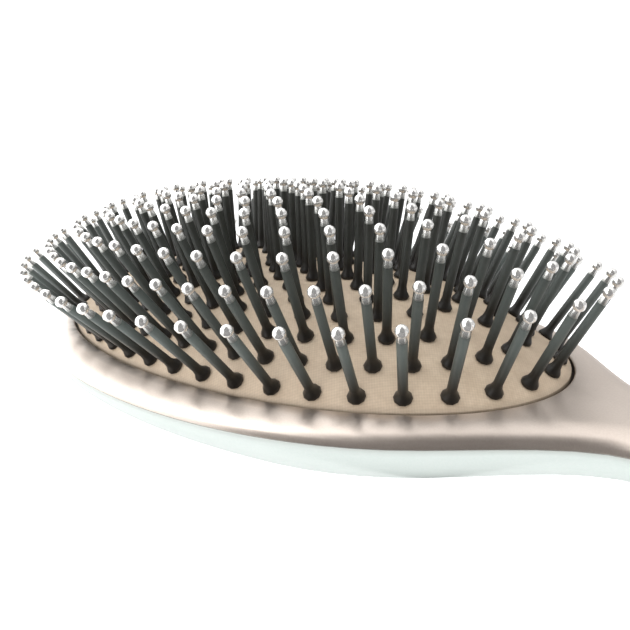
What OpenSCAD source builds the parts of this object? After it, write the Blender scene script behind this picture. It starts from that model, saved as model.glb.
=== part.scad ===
/* [Body] */
// Length of the whole brush
total_l = 225; // [205:1:250]
// Width of the face between the cushion and the head's tip
rim_end = 4.2; // [4.2:0.1:6]
// Width of the face between the cushion and the head's side
rim_side = 5.1; // [4.5:0.1:7]
// Height of the head, from its lowest point to its face
body_h = 11.4; // [11:0.1:14]
// Depth of the face shell, from its top down to the seam
face_h = 2.1; // [2:0.1:3]
// Wall of the back shell
wall = 2; // [1.6:0.1:2.4]
// Width of the neck where it is slimmest
neck_w = 12; // [11:0.5:16]
// Distance from the end of the head's oval to the slimmest part of the neck
neck_run = 9; // [8:0.5:14]
// Width of the handle where it is widest
grip_w = 26; // [22:0.5:32]
// Width that the handle's end would have if it ran on without its rounding
end_w = 22; // [18:0.5:26]
// Length of the rounding at the handle's end
end_r = 14; // [12:0.5:16]
// Rise of the handle's top above the top of the head
grip_rise = 1.5; // [0:0.1:3]
// Lift of the neck's underside above the surface the brush lies on
neck_lift = 5; // [3:0.1:5.2]
// Lift of the handle's end above the same surface
end_lift = 1.5; // [0:0.1:3]
// Rounding of the head's top edge, measured across the rim
edge_r = 2.2; // [1.2:0.1:2.6]
// Rounding of the handle's top edge, measured across the handle
grip_edge_r = 5; // [3:0.1:6]

/* [Cushion] */
// Length of the rubber dome where it meets the face
pad_l = 96; // [90:1:97]
// Width of the rubber dome where it meets the face
pad_w = 55.7; // [52:0.1:58]
// Rise of the dome above the face
pad_rise = 10; // [7:0.1:11]
// Thickness of the rubber
rubber_t = 1.3; // [1:0.1:1.6]
// Width of the flange that the frame clamps
flange_w = 2; // [1.7:0.1:2.1]
// Thickness of that flange
flange_t = 0.9; // [0.8:0.1:1]
// Gap between the dome and the edge of the opening
opening_gap = 0.7; // [0.4:0.1:1]
// Height of the frame under the flange
frame_h = 2; // [1.5:0.1:3]

/* [Pins] */
// Length of the pin above the rubber, without its ball tip
pin_l = 10.7; // [8:0.1:13]
// Diameter of the shaft
shaft_d = 1.15; // [1:0.05:1.3]
// Diameter of the flared foot
foot_d = 2.2; // [2:0.05:2.4]
// Height of the flared foot
foot_h = 1.65; // [1.2:0.05:2]
// Diameter of the stem that goes through the rubber
stem_d = 1; // [0.8:0.05:1.1]
// Diameter of the head inside the cushion
inner_head_d = 1.7; // [1.5:0.05:1.8]
// Thickness of the head inside the cushion
inner_head_t = 0.6; // [0.4:0.1:0.8]
// Diameter of the ball tip
ball_d = 1.45; // [1.3:0.05:1.7]
// Length of the neck under the ball
tip_neck_l = 0.9; // [0.8:0.1:1.4]

/* [Fits] */
// Gap round the pin's stem in the rubber
stem_gap = 0.12; // [0.1:0.01:0.2]
// Gap between the pin's foot and the rubber
foot_gap = 0.05; // [0.03:0.01:0.1]
// Slack between the pin's inner head and the rubber
head_slack = 0.42; // [0.35:0.01:0.5]
// Gap between parts that slide together once, at assembly
fit_gap = 0.1; // [0.05:0.01:0.2]

/* [Hidden] */

champagne = [0.80, 0.76, 0.71];
pearl = [0.90, 0.95, 0.93];
beige = [0.82, 0.75, 0.67];
charcoal = [0.17, 0.18, 0.17];
silver = [0.78, 0.79, 0.80];
black = [0.22, 0.22, 0.23];

// Overrun of a cut past the face that it opens
cut = 0.5;

// The head is the cushion and the rim round it
head_l = pad_l + 2 * rim_end;
head_w = pad_w + 2 * rim_side;

// Places along the brush, measured from the head's centre, which is at X = 0
tip_x = -head_l / 2;
end_x = total_l - head_l / 2;
handle_l = total_l - head_l;
grip_share = 0.64;
neck_x = head_l / 2 + neck_run;
grip_x = head_l / 2 + handle_l * grip_share;
seam_z = body_h - face_h;

// Eased step from 0 at a to 1 at b
function ease(a, b, x) = let(t = max(0, min(1, (x - a) / (b - a)))) t * t * (3 - 2 * t);

// Half width of the body in plan: an oval, a smooth curve from it into the neck, and the handle
join_share = 0.81;
join_x = head_l / 2 * join_share;
function oval_half(x) = head_w / 2 * sqrt(max(0, 1 - pow(2 * x / head_l, 2)));
join_half = oval_half(join_x);
join_slope = -pow(head_w / head_l, 2) * join_x / join_half;
function neck_half(x) = let(t = (x - join_x) / (neck_x - join_x), e = t * t * (3 - 2 * t))
    join_half * (1 - e) + neck_w / 2 * e + join_slope * (x - join_x) * (1 - t) * (1 - t);
function grip_half(x) = (neck_w + (grip_w - neck_w) * ease(neck_x, grip_x, x)
    - (grip_w - end_w) * ease(grip_x, end_x, x)) / 2;
function end_close(x) = x <= end_x - end_r ? 1 : sqrt(max(0, 1 - pow((x - end_x + end_r) / end_r, 2)));
function half_w(x) = x < join_x ? oval_half(x) : x < neck_x ? neck_half(x) : grip_half(x) * end_close(x);

// Heights of the top and of the underside along the brush
function top_z(x) = body_h + grip_rise * (ease(neck_x, grip_x, x) - ease(grip_x, end_x, x));
lift_start_share = 0.25;
function base_z(x) = neck_lift * (ease(head_l * lift_start_share, neck_x, x) - ease(neck_x, grip_x, x))
    + end_lift * ease(grip_x, end_x, x);

// The face: a wall up from the seam, a rounded edge that grows wider along the handle, and a flat top
wall_share = 0.35;
function edge_w(x) = edge_r + (grip_edge_r - edge_r) * ease(neck_x, grip_x, x);
function wall_top_z(x) = seam_z + (top_z(x) - seam_z) * wall_share;
function edge_z(x, a) = wall_top_z(x) + (top_z(x) - wall_top_z(x)) * sin(a);

// The back: share of the half width against share of the depth, as a superellipse quarter
head_back_power = 1.85;
grip_back_power = 2.1;
back_flat_share = 0.2;
function back_power(x) = head_back_power
    + (grip_back_power - head_back_power) * ease(head_l / 2, grip_x, x);
function back_share(s) = max(0, (s - back_flat_share) / (1 - back_flat_share));
function back_point_z(x, s, inset) = seam_z - (seam_z - base_z(x) - inset)
    * pow(1 - pow(back_share(s), back_power(x)), 1 / back_power(x));

// The outline runs from the head's tip along one side to the handle's end, and back along the other
side_n = 44;
crowding = 0.9;
function station(i) = let(q = i / side_n)
    tip_x + total_l * (q - crowding * sin(360 * q) / (2 * PI));
side = [for (i = [0 : side_n]) let(x = station(i)) [x, i == 0 || i == side_n ? 0 : half_w(x)]];
outline = concat(side, [for (i = [side_n - 1 : -1 : 1]) [side[i][0], -side[i][1]]]);
ring_n = len(outline);

// Each outline point has its foot on a spine, which ends short of both tips
spine_share = 0.9;
spine_start = tip_x + head_w / 2 * spine_share;
spine_end = end_x - end_r;
function spine(p) = [max(spine_start, min(spine_end, p[0])), 0];
function inward(p, s, inset) = let(c = spine(p), v = p - c) c + v * s * (1 - inset / norm(v));

// Faces of a stack of rings: caps at both ends, and bands between
function bands(n) = [for (j = [0 : n - 2], k = [0 : ring_n - 1], half = [0, 1])
    let(a = j * ring_n + k, b = j * ring_n + (k + 1) % ring_n)
    half == 0 ? [a, b, b + ring_n] : [a, b + ring_n, a + ring_n]];
function cap(start, up) = [for (k = [0 : side_n - 1], half = [0, 1])
    let(a = k, b = k + 1, c = ring_n - k - 1, d = (ring_n - k) % ring_n,
        t = half == 0 ? [a, b, c] : [a, c, d])
    if (t[0] != t[1] && t[1] != t[2] && t[2] != t[0])
        up ? [for (i = t) start + i] : [for (i = [2 : -1 : 0]) start + t[i]]];
module stack(rings) {
    points = [for (r = rings, p = r) p];
    polyhedron(points, concat(cap(0, false), bands(len(rings)), cap((len(rings) - 1) * ring_n, true)));
}

edge_angles = [0, 25, 50, 70, 90];
face_shares = [0.8, 0.5, 0.05];
back_shares = [0.05, 0.22, 0.4, 0.56, 0.7, 0.82, 0.91, 0.97, 0.994, 1];
hollow_shares = [0.05, 0.24, 0.5, 0.7, 0.86, 0.96, 1];

module face_body() {
    stack(concat(
        [[for (p = outline) [p[0], p[1], seam_z]]],
        [for (a = edge_angles) [for (p = outline) let(q = inward(p, 1, edge_w(p[0]) * (1 - cos(a))))
            [q[0], q[1], edge_z(q[0], a)]]],
        [for (s = face_shares) [for (p = outline) let(q = inward(p, s, edge_w(p[0])))
            [q[0], q[1], top_z(q[0])]]]));
}
module back_body() {
    stack([for (s = back_shares) [for (p = outline) let(q = inward(p, s, 0))
        [q[0], q[1], back_point_z(q[0], s, 0)]]]);
}
module back_hollow() {
    stack(concat(
        [for (s = hollow_shares) [for (p = outline) let(q = inward(p, s, wall))
            [q[0], q[1], back_point_z(q[0], s, wall)]]],
        [[for (p = outline) let(q = inward(p, 1, wall)) [q[0], q[1], seam_z + cut]]]));
}

// Ovals that follow the edge of the dome at a distance d
oval_n = 96;
function oval_point(d, a) = [(pad_l / 2 + d) * cos(a), (pad_w / 2 + d) * sin(a)];
module oval(d) polygon([for (i = [0 : oval_n - 1]) oval_point(d, 360 * i / oval_n)]);
module oval_wall(d_in, d_out, h) linear_extrude(h) difference() {
    oval(d_out);
    oval(d_in);
}

// Heights of the pieces that hold the flange, from the lip of the face down: a share of the frame
// stands in the face shell, so that the flange is clamped in its recess
frame_in_share = 0.1;
lip_t = face_h - flange_t - frame_h * frame_in_share;
lip_z = body_h - lip_t;
flange_z = lip_z - flange_t;
frame_z = flange_z - frame_h;
seat_in = flange_w / 3;

// Pegs of the face shell stand in bosses of the back shell, along the handle
peg_d = 3;
peg_l = 2.5;
boss_wall = 1.6;
peg_shares = [0.16, 0.5, 0.82];
peg_x = [for (s = peg_shares) head_l / 2 + handle_l * s];
boss_d = peg_d + 2 * (fit_gap + boss_wall);

// Ribs across the handle, each as deep as the hollow
rib_t = 1.4;
rib_shares = [0.28, 0.39, 0.61, 0.72];
rib_drop = 1.5;

module front_shell() color(champagne) {
    difference() {
        face_body();
        translate([0, 0, seam_z - cut]) linear_extrude(face_h + 2 * cut) oval(opening_gap);
        translate([0, 0, seam_z - cut]) linear_extrude(lip_z - seam_z + cut) oval(flange_w + fit_gap);
    }
    for (x = peg_x) translate([x, 0, seam_z - peg_l])
        cylinder(d = peg_d, h = peg_l + face_h / 2, $fn = 32);
}

module boss(x) translate([x, 0, base_z(x)]) difference() {
    cylinder(d = boss_d, h = seam_z - base_z(x), $fn = 40);
    translate([0, 0, seam_z - base_z(x) - peg_l - fit_gap])
        cylinder(d = peg_d + 2 * fit_gap, h = peg_l + fit_gap + cut, $fn = 32);
}
module rib(x) translate([x - rib_t / 2, -grip_w / 2, 0]) cube([rib_t, grip_w, seam_z - rib_drop]);

// The back shell has a seat for the frame, a recess round it and a pocket for the frame's spigot
spigot_wall = 1.2;
spigot_drop = 1;
pocket_z = frame_z - spigot_drop - fit_gap;
module back_shell() color(pearl) difference() {
    back_body();
    difference() {
        back_hollow();
        oval_wall(seat_in, flange_w + fit_gap, frame_z);
        for (x = peg_x) boss(x);
        for (s = rib_shares) rib(head_l / 2 + handle_l * s);
    }
    translate([0, 0, frame_z]) linear_extrude(body_h - frame_z) oval(flange_w + fit_gap);
    translate([0, 0, pocket_z]) linear_extrude(body_h - pocket_z) oval(seat_in);
}

// The frame carries the flange, and a spigot under it drops inside the seat wall
module cushion_frame() color(black) translate([0, 0, frame_z]) {
    oval_wall(-rubber_t, flange_w, frame_h);
    translate([0, 0, -spigot_drop])
        oval_wall(seat_in - fit_gap - spigot_wall, seat_in - fit_gap, spigot_drop + frame_h / 2);
}

// Surface of the dome over a share s of its half width, and its slope across the brush there
dome_power = 3;
pad_ratio = pad_l / pad_w;
pad_half = pad_w / 2;
function dome_z(s) = body_h + pad_rise * (1 - pow(s, dome_power));
function dome_slope(s) = pad_rise * dome_power * pow(s, dome_power - 1) / pad_half;

// The cushion is a stack of ovals: up the outside from the flange, and down the inside
dome_shares = [1, 0.93, 0.85, 0.76, 0.66, 0.54, 0.4, 0.22];
cushion_n = 60;
function cushion_ring(r, z) = [for (i = [0 : cushion_n - 1])
    let(a = 360 * i / cushion_n, grow = max(0, r - pad_half), q = min(r, pad_half))
    [(q * pad_ratio + grow) * cos(a), (q + grow) * sin(a), z]];
cushion_rings = concat(
    [cushion_ring(pad_half - rubber_t, flange_z), cushion_ring(pad_half + flange_w, flange_z),
     cushion_ring(pad_half + flange_w, lip_z), cushion_ring(pad_half, lip_z)],
    [for (s = dome_shares) cushion_ring(s * pad_half, dome_z(s))]);
cushion_inner = [for (s = dome_shares) let(m = dome_slope(s), q = rubber_t / sqrt(1 + m * m))
    cushion_ring(s * pad_half - m * q, dome_z(s) - q)];
cushion_points = concat([for (r = cushion_rings, p = r) p],
    [[0, 0, dome_z(0)], [0, 0, dome_z(0) - rubber_t]],
    [for (i = [len(cushion_inner) - 1 : -1 : 0], p = cushion_inner[i]) p]);
outer_n = len(cushion_rings);
inner_n = len(cushion_inner);
apex = outer_n * cushion_n;
inner_start = apex + 2;
function cushion_bands(start, n) = [for (j = [0 : n - 2], k = [0 : cushion_n - 1], half = [0, 1])
    let(a = start + j * cushion_n + k, b = start + j * cushion_n + (k + 1) % cushion_n)
    half == 0 ? [a, b + cushion_n, b] : [a, a + cushion_n, b + cushion_n]];
function cushion_fan(centre, start, up) = [for (k = [0 : cushion_n - 1])
    let(a = start + k, b = start + (k + 1) % cushion_n)
    up ? [centre, b, a] : [centre, a, b]];
function cushion_join(from, to) = [for (k = [0 : cushion_n - 1], half = [0, 1])
    let(n = (k + 1) % cushion_n) half == 0 ? [from + k, to + n, from + n] : [from + k, to + k, to + n]];
cushion_faces = concat(
    cushion_bands(0, outer_n), cushion_fan(apex, apex - cushion_n, true),
    cushion_fan(apex + 1, inner_start, false), cushion_bands(inner_start, inner_n),
    cushion_join(inner_start + (inner_n - 1) * cushion_n, 0));

// Rows of pins, from the outermost in, as shares of the oval's size. The first outer_row_n rows are
// nodes of their own, and the others form the centre
row_shares = [0.964, 0.871, 0.771, 0.668, 0.566, 0.465, 0.365, 0.265, 0.165, 0.055];
outer_row_n = 6;
// Pins in each row; every other row is turned by half the spacing of its pins
row_counts = [46, 48, 38, 34, 29, 24, 18, 13, 8, 3];
function row_turn(row) = row % 2 == 0 ? 0.5 : 0;
// Fraction of the way round the oval against the angle of its formula
arc_n = 120;
function arc_step(i) = norm(oval_point(0, 360 * (i + 1) / arc_n) - oval_point(0, 360 * i / arc_n));
arc_table = [for (i = 0, l = 0; i <= arc_n; l = l + arc_step(i), i = i + 1) [l, 360 * i / arc_n]];
perimeter = arc_table[arc_n][0];
function pin_angle(row, i) = lookup((i + row_turn(row)) / row_counts[row] * perimeter, arc_table);

// Puts its children at a pin's place, with +Z square to the rubber
module on_dome(row, a) {
    s = row_shares[row];
    gx = dome_slope(s) * cos(a) / pad_ratio;
    gy = dome_slope(s) * sin(a);
    translate([s * pad_half * pad_ratio * cos(a), s * pad_half * sin(a), dome_z(s)])
        rotate([0, 0, atan2(gy, gx)]) rotate([0, atan(norm([gx, gy])), 0]) children();
}
module each_pin(first, last)
    for (row = [first : last], i = [0 : row_counts[row] - 1]) on_dome(row, pin_angle(row, i)) children();

module cushion() color(beige) difference() {
    polyhedron(cushion_points, cushion_faces);
    each_pin(0, len(row_shares) - 1) translate([0, 0, -2 * rubber_t])
        cylinder(d = stem_d + 2 * stem_gap, h = 3 * rubber_t, $fn = 24);
}

// One pin: inner head, stem, flared foot, shaft and the spigot that the ball tip sits on
foot_lip = foot_h / 6;
spigot_d = shaft_d / 2;
spigot_l = tip_neck_l / 2;
module pin() {
    stem_l = rubber_t + head_slack;
    rotate_extrude($fn = 32) polygon([
        [0, -stem_l - inner_head_t],
        [inner_head_d / 2, -stem_l - inner_head_t],
        [inner_head_d / 2, -stem_l],
        [stem_d / 2, -stem_l],
        [stem_d / 2, foot_gap],
        [foot_d / 2, foot_gap],
        [foot_d / 2, foot_lip],
        [shaft_d / 2 + (foot_d - shaft_d) / 4, foot_h / 2],
        [shaft_d / 2, foot_h],
        [shaft_d / 2, pin_l],
        [spigot_d / 2, pin_l],
        [spigot_d / 2, pin_l + spigot_l],
        [0, pin_l + spigot_l]
    ]);
}

// One tip: a tapered neck with a socket for the spigot, and the ball on it
neck_low_share = 0.96;
neck_low_d = shaft_d * neck_low_share;
neck_top_share = 0.62;
neck_top_d = ball_d * neck_top_share;
ball_z = pin_l + tip_neck_l + ball_d / 2 * cos(asin(neck_top_d / ball_d));
socket_d = spigot_d + fit_gap;
module tip() rotate_extrude($fn = 32) union() {
    polygon([
        [socket_d / 2, pin_l],
        [neck_low_d / 2, pin_l],
        [neck_top_d / 2, pin_l + tip_neck_l],
        [0, pin_l + tip_neck_l],
        [0, pin_l + spigot_l + fit_gap],
        [socket_d / 2, pin_l + spigot_l + fit_gap]
    ]);
    intersection() {
        translate([0, ball_z]) circle(d = ball_d, $fn = 32);
        translate([0, pin_l + tip_neck_l - fit_gap]) square([ball_d, 2 * ball_d]);
    }
}

module pins(first, last) color(charcoal) each_pin(first, last) pin();
module tips(first, last) color(silver) each_pin(first, last) tip();

front_shell();
back_shell();
cushion_frame();
cushion();
pins(0, 0);  // pins_row_1
pins(1, 1);  // pins_row_2
pins(2, 2);  // pins_row_3
pins(3, 3);  // pins_row_4
pins(4, 4);  // pins_row_5
pins(5, 5);  // pins_row_6
pins(outer_row_n, len(row_shares) - 1);  // pins_centre
tips(0, 0);  // tips_row_1
tips(1, 1);  // tips_row_2
tips(2, 2);  // tips_row_3
tips(3, 3);  // tips_row_4
tips(4, 4);  // tips_row_5
tips(5, 5);  // tips_row_6
tips(outer_row_n, len(row_shares) - 1);  // tips_centre
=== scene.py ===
# %% [markdown]
# # A detangling brush, dressed for its picture
# The construction model of the brush comes in as a fixed frame: its pieces, the bodies they ride on
# and the slides that let the pins sink when the rubber is pressed. This lesson gives every piece its
# finished surface. We load the frame first. Nothing that is made here may change it.

# %% Load the frame
import math
import bmesh
import bpy
import numpy as np
from mathutils import Matrix, Vector


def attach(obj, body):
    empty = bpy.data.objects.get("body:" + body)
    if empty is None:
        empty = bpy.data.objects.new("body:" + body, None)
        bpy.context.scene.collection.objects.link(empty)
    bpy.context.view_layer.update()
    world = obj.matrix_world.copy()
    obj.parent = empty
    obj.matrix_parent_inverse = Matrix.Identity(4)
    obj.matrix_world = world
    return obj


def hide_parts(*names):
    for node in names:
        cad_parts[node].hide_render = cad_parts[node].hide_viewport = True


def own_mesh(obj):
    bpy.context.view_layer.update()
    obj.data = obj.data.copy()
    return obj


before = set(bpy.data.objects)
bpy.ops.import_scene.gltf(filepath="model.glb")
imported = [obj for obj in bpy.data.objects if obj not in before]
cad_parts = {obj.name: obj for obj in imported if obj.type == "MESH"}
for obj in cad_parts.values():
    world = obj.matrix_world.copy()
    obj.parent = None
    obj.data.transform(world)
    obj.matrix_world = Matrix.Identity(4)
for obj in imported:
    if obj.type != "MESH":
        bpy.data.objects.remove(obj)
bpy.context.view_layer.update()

# %% [markdown]
# ## The camera
# The picture was taken from close by, a little above the brush and from its handle's side. A camera
# could be aimed with a Track To constraint, but a matrix says its place and its turn in full. It has
# three columns: right, up, and away from the view. We build them from the turn about the vertical, the
# downward tilt and a slight roll. A small shift puts the brush off centre, as it is in the picture.

# %% Camera
PICTURE = 630
focal_px, axis_x_px, axis_y_px = 663.7, 359.57, 268.03
yaw, tilt, roll = -0.7752, 0.1930, -0.0192
eye_place = (0.08243, -0.06672, 0.04023)

forward = Vector((math.sin(yaw) * math.cos(tilt), math.cos(yaw) * math.cos(tilt), -math.sin(tilt)))
flat_right = Vector((math.cos(yaw), -math.sin(yaw), 0))
flat_up = flat_right.cross(forward)
right = flat_right * math.cos(roll) + flat_up * math.sin(roll)
up = flat_up * math.cos(roll) - flat_right * math.sin(roll)
turn = Matrix((right, up, -forward)).transposed()

lens = bpy.data.cameras.new("camera")
lens.sensor_width = 36
lens.lens = lens.sensor_width * focal_px / PICTURE
lens.shift_x = (PICTURE / 2 - axis_x_px) / PICTURE
lens.shift_y = (axis_y_px - PICTURE / 2) / PICTURE
lens.clip_start = 0.002
camera = bpy.data.objects.new("camera", lens)
camera.matrix_world = Matrix.Translation(eye_place) @ turn.to_4x4()
bpy.context.scene.collection.objects.link(camera)
bpy.context.scene.camera = camera
bpy.context.scene.view_settings.view_transform = "Standard"
print("lens", round(lens.lens, 2), "mm")

# %% [markdown]
# ## Sizes
# The shells, the rubber and the pins follow rules, so they can be made again here with finer meshes
# than the construction model carries. The sizes are the same ones, in millimetres, because a drawing
# is easiest to check in them. The meshes are scaled to metres at the end.

# %% Sizes of the shells, the rubber and the pins
MM = 0.001
# The body: its length, the rims beside the pad, its depth, the face's depth above the seam, the wall.
total_l, rim_end, rim_side, body_h, face_h, wall = 225, 4.2, 5.1, 11.4, 2.1, 2
# The handle: its widths, the neck's run, the rounded end, where it is widest, and how far it rises.
neck_w, neck_run, grip_w, end_w, end_r, widest_at = 12, 9, 26, 22, 14, 0.64
grip_rise, neck_lift, end_lift, grip_edge_r = 1.5, 5, 1.5, 5
# The rubber: its oval, its rise, its thickness, its flange, and how far a press takes it down.
pad_l, pad_w, pad_rise, rubber_t = 96, 55.7, 10, 1.3
flange_w, flange_t, fit_gap, lip_rise = 2, 0.9, 0.1, 1.1
# The pins and the ball tips on them.
pin_l, shaft_d, foot_d, foot_h, stem_d = 10.7, 1.15, 2.2, 1.65, 1
inner_head_d, inner_head_t, head_slack, foot_gap = 1.7, 0.6, 0.42, 0.05
ball_d, tip_neck_l, neck_top_share = 1.45, 0.9, 0.62

head_l, head_w = pad_l + 2 * rim_end, pad_w + 2 * rim_side
seam_z = body_h - face_h
lip_z = seam_z + lip_rise
flange_z = lip_z - flange_t
tip_x, end_x = -head_l / 2, total_l - head_l / 2
neck_x = head_l / 2 + neck_run
grip_x = head_l / 2 + (total_l - head_l) * widest_at
print("seam at", seam_z, "mm, widest grip at", round(grip_x, 1), "mm")

# %% [markdown]
# ## The outline of the body
# Seen from above, the body is an oval head, a slim neck and a long handle with a rounded end. It could
# be drawn as a Bezier curve by hand, but rules keep it at its sizes everywhere. An eased step joins one
# width to the next without a kink. numpy works on whole rows of numbers at once, so each rule serves a
# single place as well as a few hundred of them.

# %% Rules for the width and the heights
join_at, lift_from = 0.81, 0.25


def ease(a, b, x):
    """From 0 at a to 1 at b, level at both."""
    t = np.clip((x - a) / (b - a), 0, 1)
    return t * t * (3 - 2 * t)


def oval_half(x):
    return head_w / 2 * np.sqrt(np.clip(1 - (2 * x / head_l) ** 2, 0, None))


join_x = head_l / 2 * join_at
join_half = oval_half(join_x)
join_slope = -(head_w / head_l) ** 2 * join_x / join_half


def neck_half(x):
    t = (x - join_x) / (neck_x - join_x)
    e = t * t * (3 - 2 * t)
    return join_half * (1 - e) + neck_w / 2 * e + join_slope * (x - join_x) * (1 - t) ** 2


def grip_half(x):
    half = (neck_w + (grip_w - neck_w) * ease(neck_x, grip_x, x)
            - (grip_w - end_w) * ease(grip_x, end_x, x)) / 2
    past = np.clip((x - end_x + end_r) / end_r, 0, 1)
    return half * np.sqrt(1 - past ** 2)


def half_w(x):
    return np.where(x < join_x, oval_half(x), np.where(x < neck_x, neck_half(x), grip_half(x)))


def top_z(x):
    return body_h + grip_rise * (ease(neck_x, grip_x, x) - ease(grip_x, end_x, x))


def base_z(x):
    return (neck_lift * (ease(head_l * lift_from, neck_x, x) - ease(neck_x, grip_x, x))
            + end_lift * ease(grip_x, end_x, x))


print("oval and neck meet at", round(join_x, 1), "mm, half width", round(float(join_half), 1), "mm")

# %% [markdown]
# ## Points round the body
# The outline turns sharply at its two ends and hardly at all along the sides. Evenly spaced points
# would leave the ends angular, and more points everywhere would be wasted on the sides. So the stations
# along the body crowd together towards both ends.

# %% Outline
SIDE = 150
crowding = 0.9
share = np.arange(SIDE + 1) / SIDE
station = tip_x + total_l * (share - crowding * np.sin(2 * np.pi * share) / (2 * np.pi))
side = np.stack([station, half_w(station)], axis=1)
side[0, 1] = side[-1, 1] = 0
outline = np.concatenate([side, side[-2:0:-1] * [1, -1]])
print(len(outline), "points round the body")

# %% [markdown]
# ## A stack of rings
# Both shells are made in one way: the outline is pulled inwards, towards a spine along the middle,
# and set at a new height, again and again. Sculpting or a subdivided box would give a similar form, but
# rings follow the rules exactly. Bands of four-cornered faces join each ring to the next, and the first
# and last rings are closed across.

# %% Rings and the faces between them
spine_reach = 0.9
spine_start, spine_end = tip_x + head_w / 2 * spine_reach, end_x - end_r


def inward(s, inset):
    """The outline shrunk to the share s about its spine, after it lost inset millimetres."""
    spine = np.stack([np.clip(outline[:, 0], spine_start, spine_end), np.zeros(len(outline))], axis=1)
    v = outline - spine
    length = np.linalg.norm(v, axis=1)
    return spine + v * (s * (1 - inset / length))[:, None]


def inset_by(distance):
    return inward(1, np.full(len(outline), distance))


def ring(points, z):
    return np.column_stack([points, np.broadcast_to(z, len(points))])


def band_faces(n, count, start=0):
    """Faces between count rings of n points each."""
    faces = []
    for j in range(count - 1):
        low, high = start + j * n, start + (j + 1) * n
        faces += [(low + k, low + (k + 1) % n, high + (k + 1) % n, high + k) for k in range(n)]
    return faces


def across(start, n, flip):
    """Faces that close a long ring from side to side."""
    half = n // 2
    faces = [(0, 1, n - 1)] + [(n - k, k, k + 1, n - k - 1) for k in range(1, half - 1)]
    faces.append((half + 1, half - 1, half))
    return [tuple(start + i for i in (f[::-1] if flip else f)) for f in faces]


print("spine from", round(spine_start, 1), "to", round(spine_end, 1), "mm")

# %% [markdown]
# ## From points to a piece
# A mesh is made from lists of points and faces. Points that fall together are merged first, and then
# all faces are turned outwards. Smooth shading hides the facets, while edges sharper than an angle
# stay crisp. A Bevel modifier could do that too, but the rings already hold the rounded edges.

# %% Meshes and pieces
def new_mesh(name, points, faces, weld=1e-7):
    mesh = bpy.data.meshes.new(name)
    mesh.from_pydata((np.asarray(points) * MM).tolist(), [], faces)
    mesh.validate()
    work = bmesh.new()
    work.from_mesh(mesh)
    bmesh.ops.remove_doubles(work, verts=work.verts, dist=weld)
    bmesh.ops.recalc_face_normals(work, faces=work.faces)
    work.to_mesh(mesh)
    work.free()
    return mesh


def new_piece(name, mesh):
    piece = bpy.data.objects.new(name, mesh)
    bpy.context.scene.collection.objects.link(piece)
    return piece


def smooth(piece, angle):
    """Smooth shading, with edges sharper than angle degrees left crisp."""
    piece.data.polygons.foreach_set("use_smooth", [True] * len(piece.data.polygons))
    piece.data.set_sharp_from_angle(angle=math.radians(angle))


def stack(name, rings):
    n = len(outline)
    faces = band_faces(n, len(rings)) + across(0, n, False) + across((len(rings) - 1) * n, n, True)
    return new_mesh(name, np.concatenate(rings), faces)


print("helpers for meshes are ready")

# %% [markdown]
# ## Helpers for node trees
# A material is a tree of nodes, and so is a node group. Trees can be wired by hand in the editor, but
# here each kind of node gets a small function that makes it, sets or links its sockets and hands back
# its output. The trees below then read almost like sums.

# %% Small nodes
def plug(tree, value, socket):
    """Link another node's output to the socket, or set the socket to a plain value."""
    if isinstance(value, bpy.types.NodeSocket):
        tree.links.new(value, socket)
    else:
        socket.default_value = value


def math_node(tree, operation, *values):
    node = tree.nodes.new("ShaderNodeMath")
    node.operation = operation
    for value, socket in zip(values, node.inputs):
        plug(tree, value, socket)
    return node.outputs[0]


def noise_node(tree, vector, scale, detail):
    node = tree.nodes.new("ShaderNodeTexNoise")
    for label, value in (("Vector", vector), ("Scale", scale), ("Detail", detail)):
        plug(tree, value, node.inputs[label])
    return node.outputs["Fac"]


def range_node(tree, value, low, high, to_low=0.0, to_high=1.0):
    """Stretch low..high to to_low..to_high, and stop at both ends."""
    node = tree.nodes.new("ShaderNodeMapRange")
    labels = ("Value", "From Min", "From Max", "To Min", "To Max")
    for label, given in zip(labels, (value, low, high, to_low, to_high)):
        plug(tree, given, node.inputs[label])
    return node.outputs["Result"]


def place_on(tree):
    """Where a point lies on its object, in metres."""
    return tree.nodes.new("ShaderNodeTexCoord").outputs["Object"]


def axes_of(tree, vector):
    node = tree.nodes.new("ShaderNodeSeparateXYZ")
    plug(tree, vector, node.inputs[0])
    return node.outputs


def mark_on(tree, name):
    """The number that a mesh carries on its points under this name, or 0 where it has none."""
    node = tree.nodes.new("ShaderNodeAttribute")
    node.attribute_name = name
    return node.outputs["Fac"]


def new_group(name, inputs, outputs):
    group = bpy.data.node_groups.new(name, "ShaderNodeTree")
    for label, value in inputs:
        socket = group.interface.new_socket(label, in_out="INPUT", socket_type="NodeSocketFloat")
        socket.default_value = value
    for label in outputs:
        group.interface.new_socket(label, in_out="OUTPUT", socket_type="NodeSocketFloat")
    return group, group.nodes.new("NodeGroupInput").outputs, group.nodes.new("NodeGroupOutput").inputs


print("helpers for node trees are ready")

# %% [markdown]
# ## Grain, a group that every finish uses
# Every surface of the brush has some fine, uneven grain: metal flake under lacquer, the dusty skin of
# the rubber, the moulded nylon. Each material could have noise of its own, but one group, placed with
# other numbers each time, is easier to keep right. It gives a mask from two sizes of noise, and the
# fine noise as a height for bumps.

# %% Grain
grain, g_in, g_out = new_group("grain", [("Fine Scale", 2500.0), ("Coarse Scale", 300.0), ("Balance", 0.5)],
                               ["Mask", "Height"])
place = place_on(grain)
fine = noise_node(grain, place, g_in["Fine Scale"], 3.0)
coarse = noise_node(grain, place, g_in["Coarse Scale"], 4.0)
fine_part = math_node(grain, "MULTIPLY", fine, g_in["Balance"])
coarse_part = math_node(grain, "MULTIPLY", coarse, math_node(grain, "SUBTRACT", 1.0, g_in["Balance"]))
both = math_node(grain, "ADD", fine_part, coarse_part)
plug(grain, range_node(grain, both, 0.34, 0.66), g_out["Mask"])
plug(grain, fine, g_out["Height"])
print("group", grain.name, "has", len(grain.nodes), "nodes")
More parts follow.
